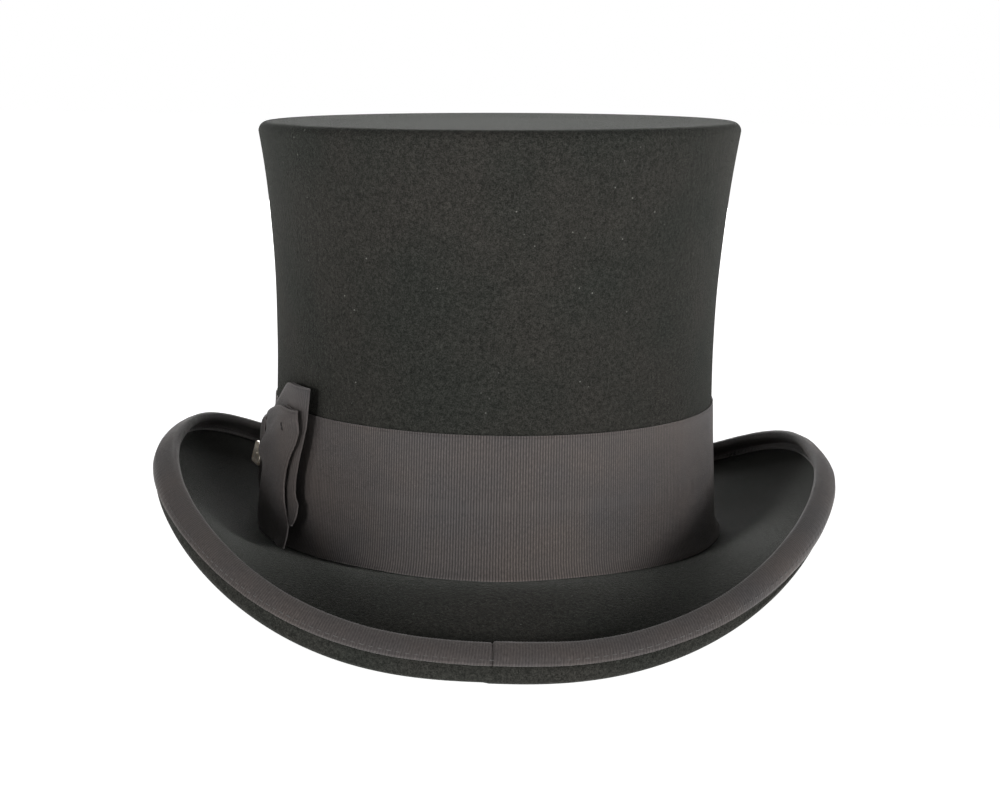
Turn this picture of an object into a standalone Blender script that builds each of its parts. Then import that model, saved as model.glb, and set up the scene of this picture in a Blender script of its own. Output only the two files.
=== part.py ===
"""A felt top hat with a curled, bound brim, a wide ribbon band and a flat side bow.

Units are metres and +Z is up. The origin is on the surface that the brim stands on, under the
middle of the crown. +Y is the wearer's front and -X the wearer's left, where the bow sits.
Heights named LEVEL are measured from the headline, the line where the crown meets the brim.
"""

from functools import cache
from math import asin, cos, pi, radians, sin

import bmesh
import bpy
from mathutils import Matrix, Vector

# Crown: the outside of the felt is an oval, narrowest at the waist and flared above and below it.
CROWN_HEIGHT = 0.157
WAIST_HALF_WIDTH = 0.0845
WAIST_LEVEL = 0.066
TIP_FLARE = 0.0086
TIP_FLARE_POWER = 2.0
FOOT_FLARE = 0.0022
OVAL_EXTRA = 0.0187
TIP_EDGE_RADIUS = 0.005
TIP_DISH = 0.0012
FELT = 0.002

# Brim. LIP and ROLL are half width, half length, level at the front and back, level at the sides.
# LIP_SHIFT carries the lip towards the wearer's right. CURL_START and CURL_END are the shares of
# the curl's rise that stay upright at its two ends.
BRIM_FELT = 0.0022
LIP = (0.1233, 0.1614, -0.0098, 0.0321)
ROLL = (0.1278, 0.1671, -0.0181, 0.0267)
ROLL_ROUNDING_FRONT = 0.0078
ROLL_ROUNDING_SIDE = 0.0020
LIP_SHIFT = 0.0012
LIP_LEAN = 0.0070
CURL_START = 0.23
CURL_END = 0.46
BRIM_SHOULDER = 0.0231
SQUARENESS = 2.404
SADDLE_POWER = 2.556
LEFT_LIFT = 0.0017
COLLAR_FELT = 0.0012
COLLAR_LEVEL = 0.012

# Ribbons. The binding reaches further down the lip's inner face than down its outer face.
RIBBON = 0.0005
BAND_WIDTH = 0.051
BINDING_INNER = 0.0098
BINDING_OUTER = 0.0074
STITCH_INSET = 0.0015

# Bow, on the wearer's left. A hoop is (reach along the band, lift, swell inside, swell outside),
# and its swells are counted from the swollen face of what lies under it. It opens from the knot
# over HOOP_OPENING and its faces draw together again over the last HOOP_CLOSING of its reach.
BACK_HOOP = (0.0680, 0.0117, 0.0007, 0.0016)
FRONT_HOOP = (0.0660, 0.0022, 0.0004, 0.0013)
HOOP_PINCH = 0.015
HOOP_OPENING = 0.052
HOOP_CLOSING = 0.25
HOOP_BULGE = 0.45
KNOT_WIDTH = 0.017
KNOT_SLACK = 0.0003

# Badge pinned to the knot.
BADGE_WIDTH = 0.0135
BADGE_HEIGHT = 0.0085
BADGE_PLATE = 0.0010
BADGE_LEVEL = 0.0255
BADGE_TILT = radians(14)
POST_RADIUS = 0.0005
CLUTCH_RADIUS = 0.0028
CLUTCH_THICKNESS = 0.0006
CUT_REACH = 0.002

# Inside.
LEATHER = 0.0009
SWEATBAND_TOP = 0.038
REED_RADIUS = 0.0007
SATIN = 0.0004
LINING_SLACK = 0.0005
LINING_FOOT = 0.014
LINING_CORNER = 0.0035
LINING_DROP = 0.0015
PIPING_RADIUS = 0.0007
TINY_BOW = 0.0004
TINY_BOW_HALF_WIDTH = 0.011
TINY_BOW_HALF_HEIGHT = 0.0035
TINY_BOW_LEVEL = 0.0274
THREAD_RADIUS = 0.0002

GAP = 0.0003
AROUND = 48


# ---------------------------------------------------------------- shared geometry

def crown_half_width(level):
    """Half width of the felt's outside at a height above the headline."""
    if level < WAIST_LEVEL:
        share = 1 - level / WAIST_LEVEL
        return WAIST_HALF_WIDTH + FOOT_FLARE * share**2
    share = (level - WAIST_LEVEL) / (CROWN_HEIGHT - WAIST_LEVEL)
    return WAIST_HALF_WIDTH + TIP_FLARE * share**TIP_FLARE_POWER


def oval(half_width, turn, share=1.0):
    """A point of a head-shaped ring, or of one shrunk towards its centre."""
    return Vector((
        share * half_width * cos(turn),
        share * (half_width + OVAL_EXTRA) * sin(turn),
        0.0,
    ))


def brim_ring(ring, turn):
    """A point of one of the brim's control rings, a rounded rectangle that rises at the sides."""
    half_width, half_length, front, side = ring
    across = abs(cos(turn))
    along = abs(sin(turn))
    reach = (across**SQUARENESS + along**SQUARENESS) ** (-1 / SQUARENESS)
    rise = (reach * across) ** SADDLE_POWER
    sideways = reach * cos(turn)
    return Vector((
        half_width * sideways,
        half_length * reach * sin(turn),
        front + (side - front) * rise - LEFT_LIFT * sideways,
    ))


def bezier(points, share):
    a, b, c, d = points
    rest = 1 - share
    return a * rest**3 + b * 3 * rest**2 * share + c * 3 * rest * share**2 + d * share**3


def brim_middle(turn, share):
    """The middle of the brim's felt: share 0 is at the crown, 1 at the roll and 2 at the lip."""
    roll = brim_ring(ROLL, turn)
    if share <= 1:
        foot = crown_half_width(0.0)
        start = oval(foot, turn)
        start.z = -GAP - BRIM_FELT / 2
        shoulder = oval(foot + BRIM_SHOULDER, turn)
        shoulder.z = start.z
        front = abs(sin(turn))
        rounding = ROLL_ROUNDING_FRONT * front + ROLL_ROUNDING_SIDE * (1 - front)
        below = roll - Vector((0, 0, rounding))
        return bezier((start, shoulder, below, roll), share)
    lip = brim_ring(LIP, turn) + Vector((LIP_SHIFT, 0, 0))
    rise = lip.z - roll.z
    above = roll + Vector((0, 0, rise * CURL_START))
    lean = Vector((cos(turn), sin(turn), 0)) * LIP_LEAN
    before = lip + lean - Vector((0, 0, rise * CURL_END))
    return bezier((roll, above, before, lip), share - 1)


def brim_frame(turn, share):
    """(point, direction towards the lip, direction out of the upper face) on the brim's middle."""
    step = 0.002
    point = brim_middle(turn, share)
    if share > 1.5:
        outward = point - brim_middle(turn, share - step)
    else:
        outward = brim_middle(turn, share + step) - point
    around = brim_middle(turn + step, share) - brim_middle(turn - step, share)
    return point, outward.normalized(), outward.cross(around).normalized()


def brim_face(turn, share, height):
    point, _, upper = brim_frame(turn, share)
    return point + upper * height


def lip_cap(turn, height, angle):
    """A point of the half round that carries a layer over the lip, from the upper face down."""
    point, outward, upper = brim_frame(turn, 2.0)
    return point + upper * height * cos(angle) + outward * height * sin(angle)


@cache
def share_below_lip(turn, distance):
    """Where on the brim a point lies this far from the lip, along the felt."""
    step = 0.01
    share = 2.0
    here = brim_middle(turn, share)
    gone = 0.0
    while share > step:
        there = brim_middle(turn, share - step)
        part = (there - here).length
        if gone + part >= distance:
            return share - step * (distance - gone) / part
        gone += part
        share -= step
        here = there
    return share


def below_lip(distance, height):
    """The ring on one of the brim's faces that lies this far from the lip."""
    return lambda turn: brim_face(turn, share_below_lip(turn, distance), height)


def spread(low, high, count):
    return [low + (high - low) * k / (count - 1) for k in range(count)]


TURNS = [2 * pi * k / AROUND for k in range(AROUND)]
INNER_STEPS = spread(BINDING_INNER, 0.0, 4)
OUTER_STEPS = spread(BINDING_OUTER, 0.0, 4)

# Shares of the way from the crown to the binding, where the brim's felt has a ring.
BRIM_PARTS = (0, 0.14, 0.3, 0.45, 0.6, 0.7, 0.8, 0.9)


def brim_part(part, binding, height):
    """The ring on one of the brim's faces at this share of the way to the binding."""
    def ring(turn):
        return brim_face(turn, share_below_lip(turn, binding) * part, height)

    return ring


# The brim's lowest point stands on the surface, so this is the headline's height.
UNDERSIDE = [brim_part(part, BINDING_OUTER, -BRIM_FELT / 2) for part in BRIM_PARTS]
HEADLINE = -min(ring(turn).z for ring in UNDERSIDE for turn in TURNS)


def lifted(point, level):
    return Vector((point.x, point.y, level))


# ---------------------------------------------------------------- making objects

def finish(name, bm, material):
    bmesh.ops.recalc_face_normals(bm, faces=bm.faces)
    mesh = bpy.data.meshes.new(name)
    bm.to_mesh(mesh)
    bm.free()
    mesh.shade_smooth()
    mesh.set_sharp_from_angle(angle=radians(40))
    mesh.materials.append(material)
    made = bpy.data.objects.new(name, mesh)
    made.location.z = HEADLINE
    bpy.context.scene.collection.objects.link(made)
    return made


def bridge(bm, first, second):
    for k in range(len(first)):
        after = (k + 1) % len(first)
        bm.faces.new((first[k], first[after], second[after], second[k]))


def ring_solid(name, rings, material):
    """A closed ring-shaped solid, lofted through rings that each give a point for a turn."""
    bm = bmesh.new()
    loops = [[bm.verts.new(ring(turn)) for turn in TURNS] for ring in rings]
    for k, loop in enumerate(loops):
        bridge(bm, loop, loops[(k + 1) % len(loops)])
    return finish(name, bm, material)


def capped_solid(name, rings, material):
    """A solid lofted through rings, closed at both ends by fans around their centres."""
    bm = bmesh.new()
    loops = [[bm.verts.new(ring(turn)) for turn in TURNS] for ring in rings]
    for k in range(len(loops) - 1):
        bridge(bm, loops[k], loops[k + 1])
    for loop in (loops[0], loops[-1]):
        centre = bm.verts.new(sum((v.co for v in loop), Vector()) / len(loop))
        for k in range(len(loop)):
            bm.faces.new((loop[k], loop[(k + 1) % len(loop)], centre))
    return finish(name, bm, material)


def stack_solid(name, outlines, material):
    """A solid through a list of outlines with the same number of points, closed at both ends."""
    bm = bmesh.new()
    loops = [[bm.verts.new(point) for point in outline] for outline in outlines]
    for k in range(len(loops) - 1):
        bridge(bm, loops[k], loops[k + 1])
    bm.faces.new(loops[0])
    bm.faces.new(loops[-1])
    return finish(name, bm, material)


def cord_ring(name, centreline, radius, sides_level, material):
    """A round cord or thread that runs once round the hat."""
    curve = bpy.data.curves.new(name, "CURVE")
    curve.dimensions = "3D"
    curve.bevel_depth = radius
    curve.bevel_resolution = sides_level
    spline = curve.splines.new("POLY")
    spline.points.add(AROUND - 1)
    for point, turn in zip(spline.points, TURNS):
        point.co = (*centreline(turn), 1)
    spline.use_cyclic_u = True
    curve.materials.append(material)
    made = bpy.data.objects.new(name, curve)
    made.location.z = HEADLINE
    bpy.context.scene.collection.objects.link(made)
    return made


def wall(inside_gap, thickness, levels):
    """Rings of a skin that follows the crown, its outside inside_gap inside the felt's outside."""
    def ring(level, depth):
        return lambda turn: lifted(oval(crown_half_width(level) - depth, turn), level)
    outside = [ring(level, inside_gap) for level in levels]
    inside = [ring(level, inside_gap + thickness) for level in reversed(levels)]
    return outside + inside


# ---------------------------------------------------------------- felt

def felt_crown(material):
    """Crown wall and tip, blocked from one felt: a cup with a rounded edge and a dished tip."""
    def side(depth):
        edge = TIP_EDGE_RADIUS - depth
        shoulder = CROWN_HEIGHT - TIP_EDGE_RADIUS
        levels = spread(0.0, shoulder, 8)
        rings = [(crown_half_width(level) - depth, level, 1.0) for level in levels]
        corner = rings[-1][0] - edge
        for step in (1, 2, 3):
            angle = pi / 2 * step / 3
            rings.append((corner + edge * cos(angle), shoulder + edge * sin(angle), 1.0))
        flat = CROWN_HEIGHT - depth - TIP_DISH
        rings.append((corner, flat + TIP_DISH * 0.3, 0.90))
        rings.append((corner, flat, 0.80))
        return rings

    def ring(half_width, level, share):
        return lambda turn: lifted(oval(half_width, turn, share), level)

    outside = [ring(*spec) for spec in reversed(side(0.0))]
    inside = [ring(*spec) for spec in side(FELT)]
    return capped_solid("felt_crown", outside + inside, material)


def felt_brim(material):
    """Brim with its curled lip, and the thin collar that stands up inside the crown."""
    def collar(level, depth):
        inset = FELT + GAP + depth
        return lambda turn: lifted(oval(crown_half_width(max(level, 0)) - inset, turn), level)

    half = BRIM_FELT / 2
    top = -GAP
    bottom = -GAP - BRIM_FELT
    rings = [collar(COLLAR_LEVEL, 0), collar(top, 0)]
    rings += [brim_part(part, BINDING_INNER, half) for part in BRIM_PARTS]
    rings += [below_lip(distance, half) for distance in INNER_STEPS]
    rings += [lambda turn: lip_cap(turn, half, pi / 2)]
    rings += [below_lip(distance, -half) for distance in reversed(OUTER_STEPS)]
    rings += reversed(UNDERSIDE)
    rings += [collar(bottom, COLLAR_FELT * 0.5), collar(top, COLLAR_FELT)]
    rings += [collar(COLLAR_LEVEL, COLLAR_FELT)]
    return ring_solid("felt_brim", rings, material)


# ---------------------------------------------------------------- ribbons on the felt

def crown_band(material):
    """Ribbon round the foot of the crown."""
    rings = wall(-GAP - RIBBON, RIBBON, spread(GAP, BAND_WIDTH, 5))
    return ring_solid("crown_band", rings, material)


def brim_binding(material):
    """Ribbon folded over the lip and stitched down on both faces."""
    def cap(height, angle):
        return lambda turn: lip_cap(turn, height, angle)

    def layer(height):
        rings = [below_lip(distance, height) for distance in INNER_STEPS]
        rings += [cap(height, angle) for angle in (pi / 4, pi / 2, 3 * pi / 4)]
        rings += [below_lip(distance, -height) for distance in reversed(OUTER_STEPS)]
        return rings

    near = BRIM_FELT / 2 + GAP
    rings = layer(near) + list(reversed(layer(near + RIBBON)))
    return ring_solid("brim_binding", rings, material)


def binding_thread(name, side, width, material):
    """Stitch line near the binding's edge, on the upper face (side 1) or the lower one (-1)."""
    height = side * (BRIM_FELT / 2 + GAP + RIBBON + GAP + THREAD_RADIUS)
    distance = width - STITCH_INSET
    return cord_ring(
        name,
        lambda turn: brim_face(turn, share_below_lip(turn, distance), height),
        THREAD_RADIUS,
        0,
        material,
    )


# ---------------------------------------------------------------- bow and badge

def on_side(along, level, stand_off):
    """A point over the band on the wearer's left; along runs towards the front."""
    foot = crown_half_width(0.0)
    slope = (crown_half_width(BAND_WIDTH) - foot) / BAND_WIDTH
    half_width = foot + slope * level + GAP + RIBBON + stand_off
    return lifted(oval(half_width, pi - asin(along / (half_width + OVAL_EXTRA))), level)


# The bow's layers, from the band outwards, as stand offs from the band.
KNOT_BACK = GAP
BACK_HOOP_INNER = KNOT_BACK + RIBBON + GAP
FRONT_HOOP_INNER = BACK_HOOP_INNER + 2 * RIBBON + 2 * GAP
CLUTCH_INNER = FRONT_HOOP_INNER + 2 * RIBBON + 2 * GAP
KNOT_FRONT = CLUTCH_INNER + CLUTCH_THICKNESS + GAP
BADGE_INNER = KNOT_FRONT + RIBBON + GAP
BAND_MIDDLE = BAND_WIDTH / 2


def bow_hoop(name, hoop, inner, swell_below, material):
    """A ribbon joined end to end, pressed flat and pinched in the middle by the knot."""
    reach, lift = hoop[:2]
    swell_inside, swell_outside = (swell_below + swell for swell in hoop[2:])

    def opened(along):
        away = min(1.0, max(0.0, (abs(along) - KNOT_WIDTH / 2) / HOOP_OPENING))
        return away * away * (3 - 2 * away)

    def inside(along):
        return along, inner + RIBBON / 2 + swell_inside * opened(along)

    def outside(along):
        closing = max(0.0, abs(along) / reach - 1 + HOOP_CLOSING) / HOOP_CLOSING
        swell = swell_outside - (swell_outside - swell_inside) * HOOP_BULGE * closing**2
        return along, inner + RIBBON * 1.5 + GAP + swell * opened(along)

    half_knot = KNOT_WIDTH / 2
    right = [0.0, half_knot] + spread(half_knot, reach, 8)[1:]
    steps = [-along for along in reversed(right[1:])] + right
    near = [inside(along) for along in steps]
    far = [outside(along) for along in reversed(steps)]
    fold = (near[-1][1] + far[0][1]) / 2
    bulge = reach + (far[0][1] - near[-1][1]) * HOOP_BULGE
    path = near + [(bulge, fold)] + far + [(-bulge, fold)]

    bm = bmesh.new()
    sections = []
    for k, (along, stand_off) in enumerate(path):
        before = Vector(path[k - 1])
        after = Vector(path[(k + 1) % len(path)])
        onward = (after - before).normalized()
        side = Vector((-onward.y, onward.x)) * RIBBON / 2
        half = HOOP_PINCH + (BAND_WIDTH / 2 - HOOP_PINCH) * opened(along)
        middle = BAND_MIDDLE + lift * opened(along)
        levels = [middle + half * share for share in (-1, -0.4, 0.4, 1)]
        left = [on_side(along + side.x, level, stand_off + side.y) for level in levels]
        other = [on_side(along - side.x, level, stand_off - side.y) for level in reversed(levels)]
        sections.append([bm.verts.new(point) for point in left + other])
    for k, section in enumerate(sections):
        bridge(bm, section, sections[(k + 1) % len(sections)])
    return finish(name, bm, material)


def knot_outline(thick):
    """The knot's inner face (thick 0) or outer face, as (level, stand off) round the bow.

    Its upper and lower edges turn in only once they are past the hoops.
    """
    half = HOOP_PINCH + KNOT_SLACK + thick
    front = KNOT_FRONT + thick
    back = KNOT_BACK + RIBBON - thick
    middle = BAND_MIDDLE
    past_hoops = (CLUTCH_INNER - KNOT_BACK - RIBBON) / (KNOT_FRONT - KNOT_BACK - RIBBON)
    spots = ((1.0, 0.0), (1.0, past_hoops), (0.95, (1 + past_hoops) / 2), (0.85, 1.0))
    low = [(middle - half * along, back + (front - back) * out) for along, out in spots]
    high = [(middle + half * along, back + (front - back) * out) for along, out in spots]
    return low + list(reversed(high))


def bow_knot(material):
    """Ribbon wrapped round the bow's middle, with a hole for the badge's post."""
    bm = bmesh.new()
    sections = []
    for along in spread(-KNOT_WIDTH / 2, KNOT_WIDTH / 2, 5):
        inner = [bm.verts.new(on_side(along, *spot)) for spot in knot_outline(0.0)]
        outer = [bm.verts.new(on_side(along, *spot)) for spot in knot_outline(RIBBON)]
        sections.append((inner, outer))
    for (inner, outer), (next_inner, next_outer) in zip(sections, sections[1:]):
        bridge(bm, inner, next_inner)
        bridge(bm, outer, next_outer)
    for inner, outer in (sections[0], sections[-1]):
        bridge(bm, inner, outer)
    knot = finish("bow_knot", bm, material)
    cutter = badge_bar("post_cutter", POST_RADIUS + GAP, -CUT_REACH, CUT_REACH, material)
    cutter.hide_render = True
    cutter.display_type = "WIRE"
    cut = knot.modifiers.new("post hole", "BOOLEAN")
    cut.operation = "DIFFERENCE"
    cut.solver = "EXACT"
    cut.object = cutter
    return knot


def badge_bar(name, radius, start, end, material):
    """A round bar square to the knot's front, between two distances outwards from its face."""
    bm = bmesh.new()
    face = on_side(0.0, BADGE_LEVEL, KNOT_FRONT + RIBBON)
    place = Matrix.Translation(face - Vector(((start + end) / 2, 0, 0)))
    bmesh.ops.create_cone(
        bm, cap_ends=True, segments=16, radius1=radius, radius2=radius,
        depth=end - start, matrix=place @ Matrix.Rotation(pi / 2, 4, "Y"),
    )
    return finish(name, bm, material)


def badge_pin(material):
    """Oblong plate, tipped out at the foot, on a post that goes through the knot."""
    bm = bmesh.new()
    bmesh.ops.create_cube(bm, size=1)
    bmesh.ops.scale(bm, vec=(BADGE_PLATE, BADGE_WIDTH, BADGE_HEIGHT), verts=bm.verts)
    lean = BADGE_HEIGHT / 2 * sin(BADGE_TILT)
    out = GAP + lean + BADGE_PLATE / 2
    centre = on_side(0.0, BADGE_LEVEL, KNOT_FRONT + RIBBON) - Vector((out, 0, 0))
    bmesh.ops.transform(
        bm, verts=bm.verts,
        matrix=Matrix.Translation(centre) @ Matrix.Rotation(BADGE_TILT, 4, "Y"),
    )
    plate = finish("badge_pin", bm, material)
    inward = -(RIBBON + GAP + CLUTCH_THICKNESS)
    post = badge_bar("post_guide", POST_RADIUS, inward, out, material)
    post.hide_render = True
    post.display_type = "WIRE"
    bevel = plate.modifiers.new("edges", "BEVEL")
    bevel.width = BADGE_PLATE / 4
    bevel.segments = 1
    join = plate.modifiers.new("post", "BOOLEAN")
    join.operation = "UNION"
    join.solver = "EXACT"
    join.object = post
    return plate


def badge_clutch(material):
    """Disc behind the knot's front that grips the badge's post."""
    outer = -(RIBBON + GAP)
    clutch = badge_bar(
        "badge_clutch", CLUTCH_RADIUS, outer - CLUTCH_THICKNESS, outer, material
    )
    cutter = badge_bar(
        "clutch_cutter", POST_RADIUS + GAP, outer - CUT_REACH, outer + CUT_REACH, material
    )
    cutter.hide_render = True
    cutter.display_type = "WIRE"
    cut = clutch.modifiers.new("post hole", "BOOLEAN")
    cut.operation = "DIFFERENCE"
    cut.solver = "EXACT"
    cut.object = cutter
    return clutch


# ---------------------------------------------------------------- inside

SWEATBAND_DEPTH = FELT + GAP + COLLAR_FELT + GAP
LINING_DEPTH = FELT + LINING_SLACK
LINING_TOP = CROWN_HEIGHT - FELT - TIP_DISH - LINING_DROP
LINING_SIDE_TOP = LINING_TOP - LINING_CORNER


def sweatband(material):
    """Leather band inside the crown's foot."""
    rings = wall(SWEATBAND_DEPTH, LEATHER, spread(GAP, SWEATBAND_TOP, 4))
    return ring_solid("sweatband", rings, material)


def sweatband_reed(material):
    """Round cord under the sweatband's foot."""
    depth = SWEATBAND_DEPTH + LEATHER / 2
    half_width = crown_half_width(0.0) - depth
    return cord_ring(
        "sweatband_reed",
        lambda turn: lifted(oval(half_width, turn), -REED_RADIUS),
        REED_RADIUS, 1, material,
    )


def sweatband_bow(material):
    """Flat little ribbon bow on the sweatband, at the back."""
    depth = SWEATBAND_DEPTH + LEATHER + GAP

    def outline(share):
        level = TINY_BOW_LEVEL
        along = TINY_BOW_HALF_WIDTH * share
        half = TINY_BOW_HALF_HEIGHT * (0.35 + 0.65 * abs(share))
        inner = crown_half_width(level) - depth
        turn = 3 * pi / 2 + asin(along / inner)
        near = oval(inner, turn)
        far = oval(inner - TINY_BOW, turn)
        return [
            lifted(near, level - half), lifted(near, level + half),
            lifted(far, level + half), lifted(far, level - half),
        ]

    outlines = [outline(share) for share in (-1, -0.5, -0.12, 0.12, 0.5, 1)]
    return stack_solid("sweatband_bow", outlines, material)


def lining_side(material):
    """Satin wall of the lining, tucked behind the sweatband at its foot."""
    rings = wall(LINING_DEPTH, SATIN, spread(LINING_FOOT, LINING_SIDE_TOP, 8))
    return ring_solid("lining_side", rings, material)


def lining_edge():
    return crown_half_width(LINING_SIDE_TOP) - LINING_DEPTH - LINING_CORNER


def lining_tip(material):
    """Satin oval under the crown's tip."""
    def ring(level):
        return lambda turn: lifted(oval(lining_edge(), turn), level)

    return capped_solid("lining_tip", [ring(LINING_TOP - SATIN), ring(LINING_TOP)], material)


def lining_piping(material):
    """Round piping in the seam between the lining's wall and tip."""
    half_width = lining_edge() + GAP + PIPING_RADIUS
    level = LINING_TOP - LINING_CORNER / 2
    return cord_ring(
        "lining_piping", lambda turn: lifted(oval(half_width, turn), level),
        PIPING_RADIUS, 1, material,
    )


# ---------------------------------------------------------------- materials and assembly

def paint(name, colour, roughness, metallic=0.0):
    material = bpy.data.materials.new(name)
    material.use_nodes = True
    surface = material.node_tree.nodes["Principled BSDF"]
    surface.inputs["Base Color"].default_value = (*colour, 1)
    surface.inputs["Roughness"].default_value = roughness
    surface.inputs["Metallic"].default_value = metallic
    return material


def build():
    for old in list(bpy.data.objects):
        bpy.data.objects.remove(old)
    wool = paint("wool_felt", (0.018, 0.019, 0.018), 0.95)
    grosgrain = paint("grosgrain", (0.045, 0.040, 0.042), 0.6)
    cotton = paint("black_thread", (0.012, 0.012, 0.012), 0.8)
    brass = paint("pale_brass", (0.80, 0.66, 0.48), 0.3, 1.0)
    leather = paint("brown_leather", (0.16, 0.075, 0.035), 0.5)
    satin = paint("black_satin", (0.02, 0.02, 0.022), 0.35)
    felt_crown(wool)
    felt_brim(wool)
    crown_band(grosgrain)
    brim_binding(grosgrain)
    binding_thread("binding_thread_upper", 1, BINDING_INNER, cotton)
    binding_thread("binding_thread_lower", -1, BINDING_OUTER, cotton)
    bow_hoop("bow_back_hoop", BACK_HOOP, BACK_HOOP_INNER, 0.0, grosgrain)
    bow_hoop("bow_front_hoop", FRONT_HOOP, FRONT_HOOP_INNER, BACK_HOOP[3], grosgrain)
    bow_knot(grosgrain)
    badge_pin(brass)
    badge_clutch(brass)
    sweatband(leather)
    sweatband_reed(cotton)
    sweatband_bow(grosgrain)
    lining_side(satin)
    lining_tip(satin)
    lining_piping(satin)


build()
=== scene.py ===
"""The looks of a felt top hat: napped felt, ribbed ribbon, a side bow, leather and satin inside.

Everything is in metres. +Y is the wearer's front and -X the wearer's left, where the bow sits.
A level is a height above the headline, the line where the crown meets the brim. Surfaces are
grids of points: the first index runs along the piece (often round the hat), the second across it.
"""

from math import pi, radians, tau

import bmesh
import bpy
import numpy as np
from mathutils import Matrix, Vector


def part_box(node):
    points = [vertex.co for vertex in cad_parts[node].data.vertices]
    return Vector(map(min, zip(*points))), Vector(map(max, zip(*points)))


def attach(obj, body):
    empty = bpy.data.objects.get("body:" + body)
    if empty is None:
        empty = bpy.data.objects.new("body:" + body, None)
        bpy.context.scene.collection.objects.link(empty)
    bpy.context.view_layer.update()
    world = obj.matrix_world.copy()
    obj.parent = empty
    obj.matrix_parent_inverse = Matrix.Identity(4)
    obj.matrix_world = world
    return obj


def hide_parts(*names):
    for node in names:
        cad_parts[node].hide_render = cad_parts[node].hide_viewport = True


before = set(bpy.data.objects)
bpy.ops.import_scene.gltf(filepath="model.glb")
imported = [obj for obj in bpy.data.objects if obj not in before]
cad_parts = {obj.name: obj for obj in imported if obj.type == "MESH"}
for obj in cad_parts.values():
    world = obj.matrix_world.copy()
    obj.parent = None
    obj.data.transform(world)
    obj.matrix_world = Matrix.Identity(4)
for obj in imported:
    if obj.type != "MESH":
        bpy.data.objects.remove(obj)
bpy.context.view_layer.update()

# ---------------------------------------------------------------- sizes

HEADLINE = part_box("felt_crown")[0].z
CROWN_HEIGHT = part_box("felt_crown")[1].z - HEADLINE
WAIST_HALF_WIDTH = 0.0845
WAIST_LEVEL = 0.066
TIP_FLARE = 0.0086
FOOT_FLARE = 0.0022
OVAL_EXTRA = 0.0187
TIP_EDGE_RADIUS = 0.0035
TIP_DISH = 0.0012
TIP_TILT = 0.0014
FELT = 0.002

BRIM_FELT = 0.0022
LIP = (0.1233, 0.1614, -0.0098, 0.0321)
ROLL = (0.1278, 0.1671, -0.0181, 0.0267)
ROLL_ROUNDING_FRONT = 0.0078
ROLL_ROUNDING_SIDE = 0.0020
LIP_SHIFT = 0.0012  # towards the wearer's right
LIP_LEAN = 0.0070
CURL_START = 0.23
CURL_END = 0.46
BRIM_SHOULDER = 0.0231
SQUARENESS = 2.404
SADDLE_POWER = 2.556
LEFT_LIFT = 0.0017
COLLAR_FELT = 0.0012
COLLAR_LEVEL = 0.012

GAP = 0.0003
RIBBON = 0.0005
BAND_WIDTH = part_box("crown_band")[1].z - HEADLINE
BAND_MIDDLE = BAND_WIDTH / 2
BAND_SPREAD_HEIGHT = 0.0075
BAND_SPREAD_OUT = 0.0028
BINDING_INNER = 0.0098
BINDING_OUTER = 0.0074
BINDING_RISE = BRIM_FELT / 2 + GAP + RIBBON / 2
RIB_PITCH = 0.00100
RIB_HEIGHT = 0.00030
RIB_STEPS = 3
STITCH_PITCH = 0.0031
STITCH_INSET = 0.0014
STITCH_RADIUS = 0.00019
STITCH_DIP = 0.00022

# The bow's hoops: (level, reach along the band) up each folded end, and how far each end rises.
BACK_REACH = ((0.010, 0.0690), (0.013, 0.0712), (0.018, 0.0700), (0.021, 0.0670), (0.028, 0.0668),
              (0.034, 0.0680), (0.041, 0.0700), (0.048, 0.0716), (0.064, 0.0722))
FRONT_REACH = ((0.002, 0.0700), (0.005, 0.0706), (0.010, 0.0690), (0.014, 0.0668), (0.019, 0.0644),
               (0.024, 0.0634), (0.030, 0.0642), (0.036, 0.0670), (0.041, 0.0702), (0.046, 0.0720),
               (0.051, 0.0718), (0.055, 0.0700))
BACK_LIFT = 0.0106
FRONT_LIFT = 0.0022
HOOP_PINCH = 0.0145
HOOP_OPENING = 0.049
HOOP_FLARE = 0.0026
KNOT_WIDTH = 0.017
KNOT_DEPTH = 0.0050

BADGE_WIDTH = 0.0135
BADGE_HEIGHT = 0.0085
BADGE_PLATE = 0.0014
BADGE_TILT = radians(14)
BADGE_TURN = radians(16)
POST_RADIUS = 0.0005

SWEATBAND_DEPTH = FELT + GAP + COLLAR_FELT + GAP
LEATHER = 0.0009
LEATHER_STITCH_PITCH = 0.0028
LEATHER_STITCH_LEVELS = (0.0030, 0.0052)
SEAM_STITCH_PITCH = 0.0011
SATIN = 0.0004
LINING_DEPTH = FELT + 0.0005
LINING_GATHERS = 96
TINY_RIBBON = 0.00022

# Softboxes as (name, azimuth, elevation, size, power). Azimuth 0 is the camera's side, 90 the right.
SOFTBOXES = (
    ("far_left_light", -75, 8.0, 0.50, 5.0),
    ("near_light", 24, 5.0, 0.50, 4.0),
    ("right_light", 47, 7.5, 0.45, 21.0),
    ("left_light", -35, 6.0, 0.45, 17.0),
    ("rim_light", 105, 8.0, 0.60, 7.0),
    ("back_light", 180, 5.0, 0.90, 24.0),
)
LIGHT_DISTANCE = 2.2
LIGHT_TARGET = Vector((0, 0, 0.08))
AMBIENT = 0.13

CAMERA_PLACE = (0.0, -0.900, HEADLINE + 0.1839)
CAMERA_PITCH = radians(8.59)
CAMERA_ROLL = radians(1.07)
CAMERA_LENS = 83.5
CAMERA_SHIFT = 0.0056
FLOOR_HALF_SIZE = 6.0


# ---------------------------------------------------------------- shapes of the hat

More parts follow.
